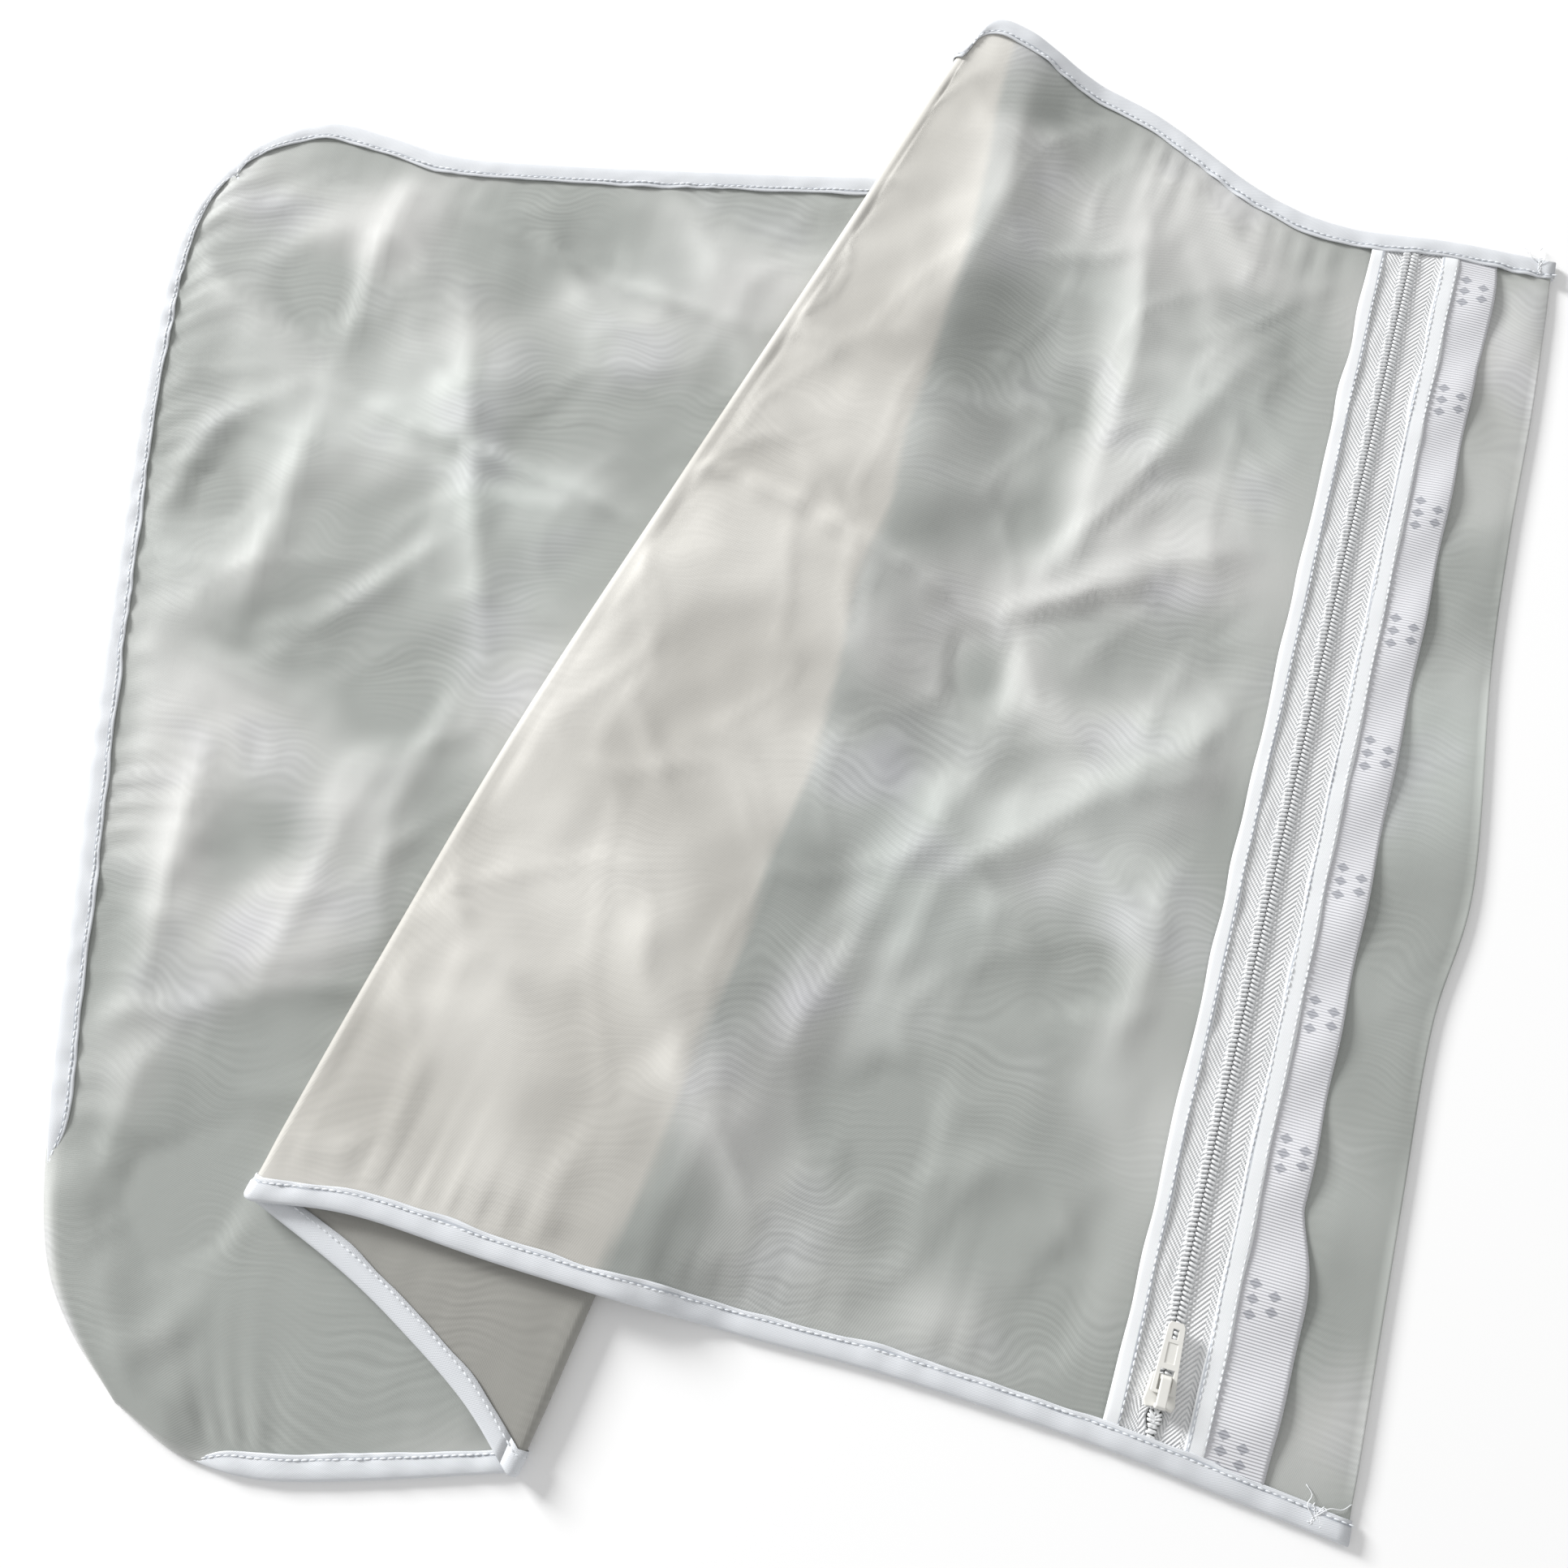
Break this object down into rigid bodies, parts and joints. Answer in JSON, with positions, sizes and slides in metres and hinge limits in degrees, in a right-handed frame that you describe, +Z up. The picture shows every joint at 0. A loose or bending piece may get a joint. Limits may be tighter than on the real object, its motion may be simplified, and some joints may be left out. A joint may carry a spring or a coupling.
{
  "type": "mesh laundry bag",
  "caption": "Zipped laundry bag of fine translucent mesh, rounded at one end, edges bound in white tape, lying flat and folded twice, with a zip and a loose ribbon at the other end.",
  "frame": {"origin": "middle of the underside of the whole folded bag, on the surface it lies on", "axes": "+Z up from the surface, square to the cloth; the rounded end is towards -X and the zip end towards +X; the slider's end of the zip is towards -Y"},
  "size_m": [0.5436, 0.5598, 0.0116],
  "materials": {
    "mesh_back_panel": "fine translucent mesh",
    "mesh_front_panel": "fine translucent mesh",
    "edge_binding_long": "satin bias tape",
    "edge_binding_short": "satin bias tape",
    "zip_tape_left": "herringbone weave",
    "zip_tape_right": "herringbone weave",
    "coil_left": "nylon coil",
    "coil_right": "nylon coil",
    "zip_facing_left": "folded tape",
    "zip_facing_right": "folded tape",
    "ribbon": "ribbed grosgrain",
    "slider_body": "semi-gloss enamel",
    "slider_crown": "semi-gloss enamel",
    "lock_spring": "spring steel",
    "pull_tab": "semi-gloss enamel"
  },
  "bodies": {
    "bag": {"mesh_back_panel": "mesh_back_panel", "mesh_front_panel": "mesh_front_panel", "edge_binding_long": "edge_binding_long", "edge_binding_short": "edge_binding_short", "zip_tape_left": "zip_tape_left", "zip_tape_right": "zip_tape_right", "coil_left": "coil_left", "coil_right": "coil_right", "zip_facing_left": "zip_facing_left", "zip_facing_right": "zip_facing_right"},
    "ribbon_flap": {"ribbon": "ribbon"},
    "slider": {"slider_body": "slider_body", "slider_crown": "slider_crown", "lock_spring": "lock_spring"},
    "pull": {"pull_tab": "pull_tab"}
  },
  "joints": [
    {"name": "slider_travel", "type": "slide", "parent": "bag", "child": "slider", "axis": [0.2828, 0.9592, 0], "range_m": [0, 0.41]},
    {"name": "pull_swing", "type": "hinge", "parent": "slider", "child": "pull", "pos_m": [0.09525, -0.23411, 0.0072], "axis": [0.9592, -0.2828, 0], "range_deg": [0, 170]},
    {"name": "ribbon_swing", "type": "hinge", "parent": "bag", "child": "ribbon_flap", "pos_m": [0.23538, 0.17403, 0.0031], "axis": [-0.2828, -0.9592, 0], "range_deg": [0, 100]}
  ]
}
